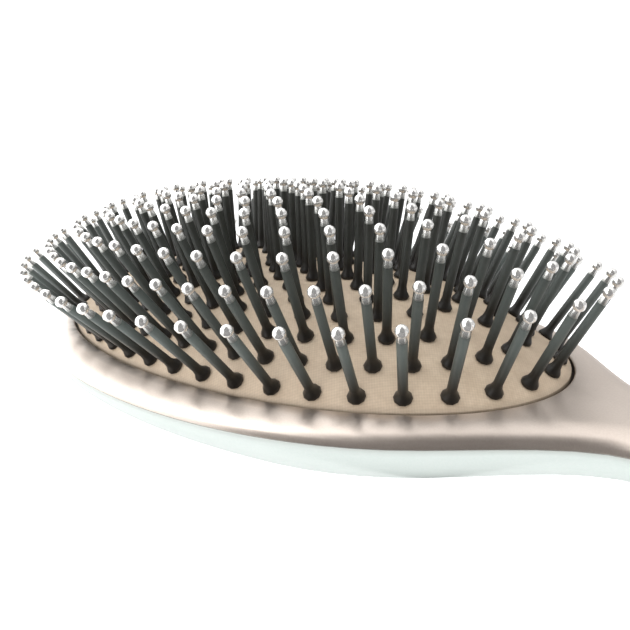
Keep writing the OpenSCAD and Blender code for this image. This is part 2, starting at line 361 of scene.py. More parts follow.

# %% [markdown]
# ## Wear and painted shade, a second group
# Edges that are handled are rubbed paler in patches, and narrow gaps are painted darker, as painted
# shade. A Geometry node's Pointiness could find edges, but it depends on the mesh and is lost in an
# export. So each mesh says on its own points where its edges and its grooves are, and this group turns
# that into masks: wear on the edges, painted shade in the grooves.

# %% Wear and painted shade
wear_and_shade, w_in, w_out = new_group("wear_and_painted_shade", [("Amount", 0.3), ("Patch Scale", 400.0)], ["Mask", "Groove"])
patches = noise_node(wear_and_shade, place_on(wear_and_shade), w_in["Patch Scale"], 5.0)
worn = math_node(wear_and_shade, "MULTIPLY", mark_on(wear_and_shade, "edge"), range_node(wear_and_shade, patches, 0.4, 0.62))
plug(wear_and_shade, math_node(wear_and_shade, "MULTIPLY", worn, w_in["Amount"]), w_out["Mask"])
# Groove: where shade is painted into the colour.
plug(wear_and_shade, mark_on(wear_and_shade, "groove"), w_out["Groove"])
print("groups:", [g.name for g in bpy.data.node_groups])

# %% [markdown]
# ## How a material is put together
# Each finish starts with the Principled shader, which covers paint, rubber, nylon and metal alike, so
# no mix of several shaders is needed. Numbers that are the same all over are set on the shader itself,
# and only what changes over the surface is linked to it.

# %% Helpers for materials
# A Mix node has sockets for every kind of data, and these are the ones for colours.
MIX_A, MIX_B, MIX_RESULT = 6, 7, 2


def new_finish(name, colour, **settings):
    """A material, its tree and its shader. A setting is a shader's socket with _ for each space."""
    finish = bpy.data.materials.new(name)
    finish.use_nodes = True
    shader = finish.node_tree.nodes["Principled BSDF"]
    shader.inputs["Base Color"].default_value = (*colour, 1)
    for label, value in settings.items():
        shader.inputs[label.replace("_", " ")].default_value = value
    return finish, finish.node_tree, shader


def use_group(tree, group, **values):
    node = tree.nodes.new("ShaderNodeGroup")
    node.node_tree = group
    for label, value in values.items():
        node.inputs[label.replace("_", " ")].default_value = value
    return node.outputs


def blend_colours(tree, factor, a, b):
    node = tree.nodes.new("ShaderNodeMix")
    node.data_type = "RGBA"
    plug(tree, factor, node.inputs["Factor"])
    for index, value in ((MIX_A, a), (MIX_B, b)):
        plug(tree, (*value, 1) if isinstance(value, tuple) else value, node.inputs[index])
    return node.outputs[MIX_RESULT]


def flat_length(tree, place, scale):
    """How far a place is from the object's origin after each axis is scaled."""
    scaled = tree.nodes.new("ShaderNodeVectorMath")
    scaled.operation = "MULTIPLY"
    scaled.inputs[1].default_value = scale
    plug(tree, place, scaled.inputs[0])
    length = tree.nodes.new("ShaderNodeVectorMath")
    length.operation = "LENGTH"
    plug(tree, scaled.outputs[0], length.inputs[0])
    return length.outputs["Value"]


def vary_roughness(tree, shader, mask, low, high):
    plug(tree, range_node(tree, mask, 0, 1, low, high), shader.inputs["Roughness"])


def bump(tree, shader, height, depth):
    """Bumps of a depth in millimetres."""
    node = tree.nodes.new("ShaderNodeBump")
    node.inputs["Distance"].default_value = depth * MM
    node.inputs["Strength"].default_value = 1.0
    plug(tree, height, node.inputs["Height"])
    plug(tree, node.outputs["Normal"], shader.inputs["Normal"])


print("helpers for materials are ready")

# %% [markdown]
# ## Champagne lacquer
# The face is painted a satin champagne with fine metal flake. It could be a plain colour under a strong
# clear coat, but flake spreads its reflections wide, so the paint itself is metallic and fairly rough,
# and the coat is thin. The flake is a very fine change of tone, and the paint is rubbed paler in
# patches along the seam.

# %% Champagne
champagne, tree, shader = new_finish("champagne_satin", (0.83, 0.72, 0.63), Metallic=0.93, Roughness=0.41,
                                     Coat_Weight=0.15, Coat_Roughness=0.25)
flake = use_group(tree, grain, Fine_Scale=5200.0, Coarse_Scale=120.0, Balance=0.6)
wear_and_shade_masks = use_group(tree, wear_and_shade, Amount=0.3, Patch_Scale=500.0)
deep_paint, light_paint, rubbed_paint = (0.80, 0.695, 0.615), (0.88, 0.78, 0.70), (0.88, 0.82, 0.76)
tone = blend_colours(tree, flake["Mask"], deep_paint, light_paint)
tone = blend_colours(tree, wear_and_shade_masks["Mask"], tone, rubbed_paint)
vary_roughness(tree, shader, flake["Mask"], 0.37, 0.45)
bump(tree, shader, flake["Height"], 0.0005)
print("finish:", champagne.name)

# %% [markdown]
# ## Painted shade beside the rubber
# Close to the rubber a thin, uneven dark band is painted on the lacquer, as painted shade and a painted
# reflection of the dark pins, and it fades towards the handle. A painted mask would need an image.
# Instead we measure how far a point lies outside the rubber's oval, on the line from its middle: the
# distance from the middle, less the part of it that is inside the oval. Down in the opening the paint is
# painted in deep shade.

# %% Painted shade beside the rubber and in the opening
painted_shade_near, painted_shade_far = 0.8 * MM, 2.4 * MM
fade_start, fade_end = 0.02, 0.045
painted_shade_colour, opening_shade = (0.11, 0.095, 0.08), (0.03, 0.022, 0.016)

place = place_on(tree)
oval_share = flat_length(tree, place, (2 / (pad_l * MM), 2 / (pad_w * MM), 0))
outer_part = math_node(tree, "SUBTRACT", 1.0, math_node(tree, "DIVIDE", 1.0, oval_share))
beside = math_node(tree, "MULTIPLY", flat_length(tree, place, (1, 1, 0)), outer_part)
uneven = range_node(tree, noise_node(tree, place, 260.0, 3.0), 0.35, 0.6, 0.45, 1.0)
painted_shade = math_node(tree, "MULTIPLY", range_node(tree, beside, painted_shade_near, painted_shade_far, 0.9, 0.0), uneven)
fading = range_node(tree, axes_of(tree, place)["X"], fade_start, fade_end, 1.0, 0.1)
painted_shade = math_node(tree, "MULTIPLY", painted_shade, fading)
# Painted shade: a dark band beside the rubber stands in for shade and the pins' reflection, and near-black
# paint stands in for the shade in the opening.
tone = blend_colours(tree, painted_shade, tone, painted_shade_colour)
plug(tree, blend_colours(tree, wear_and_shade_masks["Groove"], tone, opening_shade), shader.inputs["Base Color"])
print("film reaches", painted_shade_far / MM, "mm from the rubber's edge")

# %% [markdown]
# ## Pearl lacquer
# The back is a pale, slightly green pearl. Real pearl shifts its colour with the angle, which a Layer
# Weight node could imitate, but this one is so pale that a soft shine over a faint grain is all that
# shows. It is a plain colour with a clear coat, a little paler where it is rubbed, and painted greyer
# right under the seam, as painted shade.

# %% Pearl
pearl, tree, shader = new_finish("pearl_lacquer", (0.80, 0.86, 0.83), Metallic=0.0, Roughness=0.35,
                                 Coat_Weight=0.3, Coat_Roughness=0.15)
flake = use_group(tree, grain, Fine_Scale=4200.0, Coarse_Scale=90.0, Balance=0.5)
wear_and_shade_masks = use_group(tree, wear_and_shade, Amount=0.3, Patch_Scale=500.0)
deep_pearl, light_pearl, rubbed_pearl = (0.72, 0.795, 0.76), (0.775, 0.835, 0.805), (0.88, 0.91, 0.90)
# Painted shade: the pearl is painted greyer right under the seam.
seam_painted_shade = (0.55, 0.58, 0.55)
tone = blend_colours(tree, flake["Mask"], deep_pearl, light_pearl)
tone = blend_colours(tree, wear_and_shade_masks["Mask"], tone, rubbed_pearl)
plug(tree, blend_colours(tree, wear_and_shade_masks["Groove"], tone, seam_painted_shade), shader.inputs["Base Color"])
vary_roughness(tree, shader, flake["Mask"], 0.3, 0.42)
bump(tree, shader, flake["Height"], 0.0005)
print("finish:", pearl.name)

# %% [markdown]
# ## The face shell: its rings
# The face is a shallow lid, 2.1 mm deep from its flat top to the seam, whose rim rolls over in a wide
# curve. A Bevel modifier could round a flat plate, but the roll is wider than the plate is deep, so
# each ring of the curve is placed by its angle. The edge at the seam is softened by a tenth of a
# millimetre, and catches a thin line of light.

# %% Rings of the face
rolled_r, straight_share = 3.9, 0.35
ROLL_RINGS = 13
top_shares = (0.93, 0.8, 0.65, 0.5, 0.3, 0.05)


def edge_w(x):
    """The width of the roll, which is wider on the handle."""
    return rolled_r + (grip_edge_r - rolled_r) * ease(neck_x, grip_x, x)


def wall_top_z(x):
    """Where the straight wall over the seam ends and the roll starts."""
    return seam_z + (top_z(x) - seam_z) * straight_share


def face_rings(seam_soft=0.12):
    x = outline[:, 0]
    rings = [ring(inset_by(seam_soft), seam_z), ring(inset_by(seam_soft * 0.3), seam_z + seam_soft * 0.3),
             ring(outline, seam_z + seam_soft)]
    for degrees in np.linspace(0, 90, ROLL_RINGS):
        a = math.radians(degrees)
        q = inward(1, edge_w(x) * (1 - math.cos(a)))
        low = wall_top_z(q[:, 0])
        rings.append(ring(q, low + (top_z(q[:, 0]) - low) * math.sin(a)))
    for s in top_shares:
        q = inward(s, edge_w(x))
        rings.append(ring(q, top_z(q[:, 0])))
    return rings


print("the rim rolls over", rolled_r, "mm")

# %% [markdown]
# ## The opening for the rubber
# The rubber comes up through an oval opening with a slightly rounded lip, and its flange lies in a
# wider recess under that lip. The faces round the opening could be bridged by hand, but a Boolean
# modifier cuts it cleanly out of any rings. Its cutter is a stack of ovals that is wide at the bottom
# and flares at the top, so that one cut leaves recess and rounded lip together.

# %% Cutter for the opening
OVAL_POINTS = 192


def oval(d, z):
    """The edge of the pad, d millimetres further out, at height z."""
    a = np.linspace(0, 2 * np.pi, OVAL_POINTS, endpoint=False)
    return np.column_stack([(pad_l / 2 + d) * np.cos(a), (pad_w / 2 + d) * np.sin(a),
                            np.full(OVAL_POINTS, z)])


def closed_tube(name, rings):
    """A mesh of rings that is closed with one face at each end."""
    n = len(rings[0])
    faces = band_faces(n, len(rings))
    faces += [tuple(range(n))[::-1], tuple((len(rings) - 1) * n + k for k in range(n))]
    return new_mesh(name, np.concatenate(rings), faces)


def flared_cut(lip_gap=0.4, lip_round=0.25, past=1):
    recess = flange_w + fit_gap
    profile = [(recess, seam_z - past), (recess, lip_z), (lip_gap, lip_z)]
    for degrees in range(0, 91, 15):
        a = math.radians(degrees)
        profile.append((lip_gap + lip_round * (1 - math.cos(a)),
                        body_h - lip_round + lip_round * math.sin(a)))
    profile.append((lip_gap + lip_round, body_h + past))
    return profile


def cut_away(piece, cutter_mesh):
    cutter = new_piece("cutter", cutter_mesh)
    modifier = piece.modifiers.new("cut", "BOOLEAN")
    modifier.operation = "DIFFERENCE"
    modifier.solver = "EXACT"
    modifier.object = cutter
    depsgraph = bpy.context.evaluated_depsgraph_get()
    result = bpy.data.meshes.new_from_object(piece.evaluated_get(depsgraph))
    piece.modifiers.remove(modifier)
    bpy.data.objects.remove(cutter)
    piece.data = result


opening = closed_tube("opening", [oval(d, z) for d, z in flared_cut()])
print("cutter for the opening:", len(opening.polygons), "faces")

# %% [markdown]
# ## Marks for edges and grooves
# The wear and shade group needs to know where a mesh has edges and grooves. Weights could be painted by
# hand, but both follow from a point's place: the rubbed edge is near the height of the seam, and the
# groove, which gets painted shade, is the wall of the opening, below its lip. Each mark is a number from
# 0 to 1, kept on the points.

# %% Marks
def mark(piece, name, rule):
    """A number from 0 to 1 on each point, from its place in millimetres."""
    points = np.array([v.co for v in piece.data.vertices]) / MM
    layer = piece.data.attributes.new(name, "FLOAT", "POINT")
    layer.data.foreach_set("value", np.clip(rule(points), 0, 1))


def near_seam(reach):
    return lambda q: 1 - np.abs(q[:, 2] - seam_z) / reach


def in_opening(q, beyond=1, lip_clear=0.05, fade=0.3):
    inside = np.hypot(q[:, 0] / (pad_l / 2 + beyond), q[:, 1] / (pad_w / 2 + beyond)) < 1
    return inside * (body_h - lip_clear - q[:, 2]) / fade


print("rules for marks are ready")

# %% [markdown]
# ## The face shell, put together
# The stack of rings becomes a mesh, the opening is cut, and the marks come last, because the cut makes
# new points. The piece replaces the front shell of the construction model and rides on the same body.

# %% Face shell
face_shell = new_piece("face_shell", stack("face_shell", face_rings()))
cut_away(face_shell, opening)
smooth(face_shell, 30)
mark(face_shell, "edge", near_seam(0.3))
mark(face_shell, "groove", in_opening)
face_shell.data.materials.clear()
face_shell.data.materials.append(champagne)
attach(face_shell, "housing")
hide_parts("front_shell")
print("face shell:", len(face_shell.data.polygons), "faces")

# %% [markdown]
# ## The back shell
# The back is a hollow bowl under the seam, rounded across and lifted under the neck. A Solidify
# modifier could give a single skin its wall, but the rim has to stay flat where the two shells meet. So
# its outside and its inside are two runs of rings that join at the rim, 2 mm apart. The rim's outer
# corner is softened, because a moulded edge is never quite sharp and it catches a thin light.

# %% Rings of the back
flat_share = 0.2
head_power, power_gain = 1.85, 0.25
OUTER_RINGS, ring_crowding = 30, 1.8
inner_shares = (0.97, 0.9, 0.78, 0.6, 0.4, 0.2, 0.05)


def back_z(x, s, inset):
    """The height of the bowl at the share s of its width: a flat, then a curve near a quarter oval."""
    power = head_power + power_gain * ease(head_l / 2, grip_x, x)
    part = np.clip((s - flat_share) / (1 - flat_share), 0, 1)
    return seam_z - (seam_z - base_z(x) - inset) * (1 - part ** power) ** (1 / power)


def back_rings(seam_soft=0.15, inner_drop=0.3):
    outer = []
    for s in 1 - (1 - np.linspace(0.04, 1, OUTER_RINGS)) ** ring_crowding:
        q = inward(s, np.zeros(len(outline)))
        z = back_z(q[:, 0], s, 0)
        if s < 1:
            outer.append(ring(q, np.minimum(z, seam_z - seam_soft * 1.5)))
    outer += [ring(outline, seam_z - seam_soft), ring(inset_by(seam_soft * 0.3), seam_z - seam_soft * 0.3),
              ring(inset_by(seam_soft), seam_z)]
    inner = [ring(inset_by(wall), seam_z)]
    for s in inner_shares:
        q = inward(s, np.full(len(outline), wall))
        inner.append(ring(q, np.minimum(back_z(q[:, 0], s, wall), seam_z - inner_drop)))
    return outer + inner


print("rings of the back:", len(back_rings()))

# %% [markdown]
# ## The back shell, put together
# The marks differ a little from the face's: here the groove is a line of painted shade right under the
# seam, because the bowl has no opening. It replaces the back shell of the construction model.

# %% Back shell
back_bowl = new_piece("back_bowl", stack("back_bowl", back_rings()))
smooth(back_bowl, 30)
mark(back_bowl, "edge", near_seam(0.3))
mark(back_bowl, "groove", near_seam(0.6))
back_bowl.data.materials.append(pearl)
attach(back_bowl, "housing")
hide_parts("back_shell")
print("back shell:", len(back_bowl.data.polygons), "faces")

# %% [markdown]
# ## The frame under the flange
# An oval ring clamps the rubber's flange up against the face. It is hidden inside, so its construction
# mesh is good enough and needn't be made again. It only gets a finish, black moulded plastic with a
# fine, even spark-eroded texture, which goes straight into its material slots.

# %% Frame plastic
deep_plastic, light_plastic = (0.038, 0.038, 0.041), (0.055, 0.055, 0.058)
plastic, tree, shader = new_finish("frame_plastic", (0.045, 0.045, 0.048), Roughness=0.5)
spark = use_group(tree, grain, Fine_Scale=3000.0, Coarse_Scale=400.0, Balance=0.7)
plug(tree, blend_colours(tree, spark["Mask"], deep_plastic, light_plastic), shader.inputs["Base Color"])
vary_roughness(tree, shader, spark["Mask"], 0.45, 0.6)
bump(tree, shader, spark["Height"], 0.02)
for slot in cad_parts["cushion_frame"].material_slots:
    slot.material = plastic
print("finish of the frame:", plastic.name)

# %% [markdown]
# ## Rubber
# The cushion is a dull beige rubber with a fine crossed grain that its mould left, like a very close
# weave, and a faint cloudiness. An image of cloth could give the weave, but two crossed sine waves on
# the object's own axes do it with nothing to stretch or repeat. They only darken the threads' gaps.
# The rubber's foot, down in the opening, is in deep shade.

# %% Rubber finish
weave_pitch = 0.42


def weave_node(tree, pitch):
    """A crossed grain, from -1 to 1, pitch millimetres from crest to crest."""
    along_axes = axes_of(tree, place_on(tree))
    waves = [math_node(tree, "SINE", math_node(tree, "MULTIPLY", along_axes[k], 2 * math.pi / (pitch * MM)))
             for k in (0, 1)]
    return math_node(tree, "MULTIPLY", *waves)


rubber, tree, shader = new_finish("cushion_rubber", (0.70, 0.58, 0.47), Roughness=0.72)
skin = use_group(tree, grain, Fine_Scale=2100.0, Coarse_Scale=420.0, Balance=0.45)
deep_beige, light_beige, cloud_beige = (0.595, 0.46, 0.32), (0.765, 0.63, 0.47), (0.70, 0.55, 0.42)
weave_brown, foot_shade = (0.45, 0.35, 0.25), (0.05, 0.035, 0.025)
mottle = blend_colours(tree, skin["Mask"], deep_beige, light_beige)
cloud = range_node(tree, noise_node(tree, place_on(tree), 45.0, 3.0), 0.35, 0.65, 0.0, 0.35)
mottle = blend_colours(tree, cloud, mottle, cloud_beige)
weave = range_node(tree, weave_node(tree, weave_pitch), -1, 1, 0.0, 0.32)
mottle = blend_colours(tree, weave, mottle, weave_brown)
groove = use_group(tree, wear_and_shade)["Groove"]
plug(tree, blend_colours(tree, groove, mottle, foot_shade), shader.inputs["Base Color"])
vary_roughness(tree, shader, skin["Mask"], 0.62, 0.82)
bump(tree, shader, skin["Height"], 0.05)
print("finish:", rubber.name, "with a weave of", weave_pitch, "mm")

# %% [markdown]
# ## The dome of the cushion
# The cushion is a thin rubber dome that stands up steeply at its edge and flattens in the middle.
# Padded things are often blown up with a cloth simulation, but this one is moulded to its form, and its
# rise follows a cube law, the same one that places the pins later on. A stack of ovals goes up the
# outside from the flange, over the top, and down the inside, a rubber's thickness away.

# %% Rules for the dome
DOME_POINTS, DOME_POWER = 144, 3
half_pad = pad_w / 2
shares = np.array([1, 0.985, 0.96, 0.93, 0.89, 0.84, 0.78, 0.71, 0.63, 0.54, 0.44, 0.34, 0.23, 0.12, 0.02])


def dome_z(s):
    return body_h + pad_rise * (1 - s ** DOME_POWER)


def dome_slope(s):
    return pad_rise * DOME_POWER * s ** (DOME_POWER - 1) / half_pad


def cushion_ring(r, z):
    """An oval that is r wide on each side of the middle; past the pad's edge it grows evenly."""
    grow = max(0, r - half_pad)
    q = min(r, half_pad)
    a = np.linspace(0, 2 * np.pi, DOME_POINTS, endpoint=False)
    return np.column_stack([(q * pad_l / pad_w + grow) * np.cos(a), (q + grow) * np.sin(a),
                            np.full(DOME_POINTS, z)])


def outside_rings():
    foot = [(half_pad - rubber_t, flange_z), (half_pad + flange_w, flange_z),
            (half_pad + flange_w, lip_z), (half_pad, lip_z)]
    return [cushion_ring(r, z) for r, z in foot] + [cushion_ring(s * half_pad, dome_z(s)) for s in shares]


def inside_rings(smallest=0.2):
    rings = []
    for s in shares:
        m = dome_slope(s)
        q = rubber_t / math.sqrt(1 + m * m)
        rings.append(cushion_ring(max(s * half_pad - m * q, smallest), dome_z(s) - q))
    return rings[::-1]


print("the dome rises to", dome_z(0), "mm")

# %% [markdown]
# ## The cushion, put together
# Outside and inside are two runs of bands, each closed at the top by one small face, and one last band
# joins them under the flange. The cushion holds air, and its flange stays clamped.

# %% Cushion
shade_over, shade_fade = 0.1, 0.4
outside, inside = outside_rings(), inside_rings()
turned = len(outside) * DOME_POINTS
last = turned + (len(inside) - 1) * DOME_POINTS
faces = band_faces(DOME_POINTS, len(outside))
faces.append(tuple(turned - DOME_POINTS + k for k in range(DOME_POINTS)))
faces.append(tuple(turned + k for k in range(DOME_POINTS))[::-1])
faces += band_faces(DOME_POINTS, len(inside), start=turned)
faces += [(last + k, last + (k + 1) % DOME_POINTS, (k + 1) % DOME_POINTS, k) for k in range(DOME_POINTS)]
cushion = new_piece("rubber_cushion", new_mesh("rubber_cushion", np.concatenate(outside + inside), faces))
smooth(cushion, 50)
mark(cushion, "groove", lambda q: (body_h + shade_over - q[:, 2]) / shade_fade)
cushion.data.materials.append(rubber)
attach(cushion, "housing")
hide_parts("cushion")
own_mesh(cushion)
print("cushion:", len(cushion.data.polygons), "faces")

# %% [markdown]
# ## One pin and one tip
# A pin is a turned shape: a head inside the cushion, a stem through the rubber, a flared foot and a
# plain shaft. The tip on it is a tapered neck and a small ball. A Spin or Screw modifier could turn a
# profile too, but rings from the same helper need nothing new. With 261 of each, the shapes stay
# small: ten sides are enough for both. Each point also carries how far along the pin it is, for the
# finish to use.

# %% Turned shapes
def turned_shape(name, profile, angle, sides=10):
    """profile: (radius, height) from the bottom up, in millimetres; both ends are closed."""
    a = np.linspace(0, 2 * np.pi, sides, endpoint=False)
    rings = [np.column_stack([r * np.cos(a), r * np.sin(a), np.full(sides, z)]) for r, z in profile]
    mesh = closed_tube(name, rings)
    along = mesh.attributes.new("along", "FLOAT", "POINT")
    along.data.foreach_set("value", [v.co.z / MM / pin_l for v in mesh.vertices])
    shape = new_piece(name, mesh)
    smooth(shape, angle)
    return shape


under = -(rubber_t + head_slack)
shaft_r, foot_r = shaft_d / 2, foot_d / 2
inner_head = [(inner_head_d / 2, under - inner_head_t), (inner_head_d / 2, under)]
stem = [(stem_d / 2, under), (stem_d / 2, foot_gap)]
foot = [(foot_r * 0.9, foot_gap), (foot_r, foot_h * 0.16), (foot_r * 0.86, foot_h * 0.36),
        (shaft_r * 1.22, foot_h * 0.62)]
shaft = [(shaft_r, foot_h), (shaft_r, pin_l)]
pin_shape = turned_shape("pin_shape", inner_head + stem + foot + shaft, 62)

neck_top_r = ball_d / 2 * neck_top_share
ball_z = pin_l + tip_neck_l + ball_d / 2 * math.cos(math.asin(neck_top_share))
neck = [(shaft_r * 0.96, pin_l), (neck_top_r * 1.02, pin_l + tip_neck_l * 0.96)]
ball = [(ball_d / 2 * math.sin(a), ball_z - ball_d / 2 * math.cos(a))
        for a in np.radians([math.degrees(math.asin(neck_top_share)), 62, 86, 110, 134, 157, 175])]
tip_shape = turned_shape("tip_shape", neck + ball, 50)
print("pin:", len(pin_shape.data.polygons), "faces; tip:", len(tip_shape.data.polygons), "faces")

# %% [markdown]
# ## Nylon
# The pins are moulded in a charcoal nylon with a faint green cast. Towards the foot they are painted
# almost black and a little brown, as painted shade. The pins of the outer rows are painted paler towards
# their tops, as painted light, and pins differ slightly from one to the next. One colour with noise
# would miss all that, so the tone follows the marks on the mesh and the height on the dome.

# %% Nylon finish
deep_nylon, light_nylon, other_batch = (0.012, 0.0105, 0.007), (0.022, 0.020, 0.015), (0.016, 0.016, 0.013)
painted_pin_light, painted_pin_foot_shade = (0.118, 0.140, 0.131), (0.010, 0.008, 0.006)
outer_z, middle_z = 0.019, 0.029

nylon, tree, shader = new_finish("pin_nylon", (0.04, 0.045, 0.04), Roughness=0.4)
skin = use_group(tree, grain, Fine_Scale=2600.0, Coarse_Scale=350.0, Balance=0.5)
along = mark_on(tree, "along")
tone = blend_colours(tree, skin["Mask"], deep_nylon, light_nylon)
tone = blend_colours(tree, range_node(tree, mark_on(tree, "batch"), 0, 1, 0.0, 0.35), tone, other_batch)
# Painted light: the upper parts of the outer rows' pins are painted paler, for the light that reaches them.
outer = range_node(tree, axes_of(tree, place_on(tree))["Z"], outer_z, middle_z, 1.0, 0.15)
painted_light_mask = math_node(tree, "MULTIPLY", outer, range_node(tree, along, 0.2, 0.9))
tone_with_painted_light = blend_colours(tree, painted_light_mask, tone, painted_pin_light)
# Painted shade: the pins are painted darker towards the foot, nearly black.
near_foot = range_node(tree, along, 0.24, 0.02)
plug(tree, blend_colours(tree, near_foot, tone_with_painted_light, painted_pin_foot_shade), shader.inputs["Base Color"])
vary_roughness(tree, shader, skin["Mask"], 0.36, 0.48)
bump(tree, shader, skin["Height"], 0.012)
print("finish:", nylon.name)

# %% [markdown]
# ## Polished metal
# The ball tips are bright metal. Chrome would be fully metallic and mirror-smooth, but these small
# balls have a soft glow as well, so they are a little less metallic, with a trace of polishing grain.
# Their necks are darker and rubbed dull. The mark along the pin tells neck from ball.

# %% Metal finish
neck_start, neck_end = 1.0, 1.10
bright, neck_grey = (0.95, 0.94, 0.92), (0.30, 0.31, 0.29)

metal, tree, shader = new_finish("tip_metal", (0.9, 0.9, 0.9), Metallic=0.75, Roughness=0.08)
polish = use_group(tree, grain, Fine_Scale=3400.0, Coarse_Scale=600.0, Balance=0.4)
on_neck = range_node(tree, mark_on(tree, "along"), neck_end, neck_start)
plug(tree, blend_colours(tree, on_neck, bright, neck_grey), shader.inputs["Base Color"])
ball_rough = range_node(tree, polish["Mask"], 0, 1, 0.05, 0.09)
rough = math_node(tree, "ADD", ball_rough, math_node(tree, "MULTIPLY", on_neck, 0.25))
plug(tree, rough, shader.inputs["Roughness"])
print("finish:", metal.name)

# %% [markdown]
# ## Rows of pins with Geometry Nodes: the inputs
# The pins stand in ovals, one inside the other, evenly spaced by length round the oval and square to
# the rubber. An Array modifier along a curve could set them out, but it doesn't turn them square to a
# dome. A Geometry Nodes tree does one such row, and the same tree grows all of them from named inputs.

# %% Inputs of the tree
pin_row = bpy.data.node_groups.new("pin_row", "GeometryNodeTree")
pin_row.interface.new_socket("Geometry", in_out="OUTPUT", socket_type="NodeSocketGeometry")
for label, kind in (("Geometry", "Geometry"), ("Shape", "Object"), ("Finish", "Material"), ("Count", "Int"),
                    ("Turn", "Float"), ("Share", "Float"), ("Half Length", "Float"), ("Half Width", "Float"),
                    ("Face Height", "Float"), ("Rise", "Float"), ("Lean", "Float"), ("Seed", "Int")):
    pin_row.interface.new_socket(label, in_out="INPUT", socket_type="NodeSocket" + kind)
row_in = pin_row.nodes.new("NodeGroupInput").outputs
link = pin_row.links.new


def row_node(kind, **settings):
    made = pin_row.nodes.new(kind)
    for label, value in settings.items():
        setattr(made, label, value)
    return made


def number(operation, *values):
    return math_node(pin_row, operation, *values)


def vector_of(*values):
    made = row_node("ShaderNodeCombineXYZ")
    for value, socket in zip(values, made.inputs):
        plug(pin_row, value, socket)
    return made.outputs[0]


print("inputs of a row:", [s.name for s in row_in if s.name])

# %% [markdown]
# ## Points on the dome
# A circle curve of radius 1 is stretched to the pad's oval. Sampling it at even factors gives places
# that are evenly spaced by length, which equal angles wouldn't. Turn moves a row on by part of a
# spacing, and Share shrinks the oval to the row's own. The height follows the dome's cube law.

# %% Places of the pins
circle = row_node("GeometryNodeCurvePrimitiveCircle", mode="RADIUS")
circle.inputs["Resolution"].default_value = 240
circle.inputs["Radius"].default_value = 1
stretch = row_node("GeometryNodeTransform")
link(circle.outputs["Curve"], stretch.inputs["Geometry"])
link(vector_of(row_in["Half Length"], row_in["Half Width"], 1), stretch.inputs["Scale"])

index = row_node("GeometryNodeInputIndex").outputs[0]
sample = row_node("GeometryNodeSampleCurve", mode="FACTOR", use_all_curves=True)
link(stretch.outputs[0], sample.inputs["Curves"])
link(number("DIVIDE", number("ADD", index, row_in["Turn"]), row_in["Count"]), sample.inputs["Factor"])
on_oval = axes_of(pin_row, sample.outputs["Position"])

fall = number("SUBTRACT", 1.0, number("POWER", row_in["Share"], DOME_POWER))
spot = vector_of(number("MULTIPLY", on_oval["X"], row_in["Share"]),
                 number("MULTIPLY", on_oval["Y"], row_in["Share"]),
                 number("MULTIPLY_ADD", row_in["Rise"], fall, row_in["Face Height"]))
row_points = row_node("GeometryNodePoints")
link(row_in["Count"], row_points.inputs["Count"])
link(spot, row_points.inputs["Position"])
print("the tree has", len(pin_row.nodes), "nodes")

# %% [markdown]
# ## Which way a pin stands
# A pin stands square to the dome. A Raycast could read that direction from a mesh, but the cube law's
# own slope gives it exactly: the steeper the dome, the further the pin tips outwards. A very slight
# random lean, from a fixed seed, keeps the rows from looking machine-made.

# %% Direction of the pins
steep = number("MULTIPLY", number("MULTIPLY", row_in["Rise"], DOME_POWER),
               number("POWER", row_in["Share"], DOME_POWER - 1))
tip_out = [number("MULTIPLY", steep, number("DIVIDE", on_oval[axis], number("POWER", row_in[half], 2.0)))
           for axis, half in (("X", "Half Length"), ("Y", "Half Width"))]
lean = row_node("FunctionNodeRandomValue", data_type="FLOAT_VECTOR")
lean.inputs["Min"].default_value = (-1, -1, 0)
lean.inputs["Max"].default_value = (1, 1, 0)
link(row_in["Seed"], lean.inputs["Seed"])
leaning = row_node("ShaderNodeVectorMath", operation="SCALE")
link(lean.outputs["Value"], leaning.inputs[0])
link(row_in["Lean"], leaning.inputs["Scale"])
direction = row_node("ShaderNodeVectorMath", operation="ADD")
link(vector_of(*tip_out, 1), direction.inputs[0])
link(leaning.outputs[0], direction.inputs[1])
align = row_node("FunctionNodeAlignRotationToVector", axis="Z")
link(direction.outputs[0], align.inputs["Vector"])
print("the tree has", len(pin_row.nodes), "nodes")

# %% [markdown]
# ## Shapes on the points
# The shape is placed on each point as an instance, and each instance gets one random number, batch,
# for its finish. Instances save memory, but an export drops them, so the tree ends in real geometry
# with its material.

# %% Stand the shapes and finish them
shape_info = row_node("GeometryNodeObjectInfo", transform_space="ORIGINAL")
link(row_in["Shape"], shape_info.inputs["Object"])
stand = row_node("GeometryNodeInstanceOnPoints")
link(row_points.outputs[0], stand.inputs["Points"])
link(shape_info.outputs["Geometry"], stand.inputs["Instance"])
link(align.outputs[0], stand.inputs["Rotation"])
batch = row_node("FunctionNodeRandomValue", data_type="FLOAT")
link(row_in["Seed"], batch.inputs["Seed"])
store = row_node("GeometryNodeStoreNamedAttribute", data_type="FLOAT", domain="INSTANCE")
store.inputs["Name"].default_value = "batch"
link(stand.outputs[0], store.inputs["Geometry"])
link(batch.outputs[1], store.inputs["Value"])
real = row_node("GeometryNodeRealizeInstances")
link(store.outputs[0], real.inputs[0])
set_finish = row_node("GeometryNodeSetMaterial")
link(real.outputs[0], set_finish.inputs["Geometry"])
link(row_in["Finish"], set_finish.inputs["Material"])
link(set_finish.outputs[0], row_node("NodeGroupOutput").inputs["Geometry"])
print("tree", pin_row.name, "has", len(pin_row.nodes), "nodes")

# %% [markdown]
# ## Growing the rows
# Each row is grown once with the pin and once with the tip, on the same seed, so that every tip stands
# on its own pin. Every second row starts half a spacing on. The result is turned into a plain mesh, and
# the object that carried the modifier is removed.

# %% Growing a row
# Each row's share of the pad's oval, from the edge inwards, and how many pins stand in it.
rows = [(0.964, 46), (0.871, 48), (0.771, 38), (0.668, 34), (0.566, 29),
        (0.465, 24), (0.365, 18), (0.265, 13), (0.165, 8), (0.055, 3)]
lean_share, first_seed = 0.008, 11


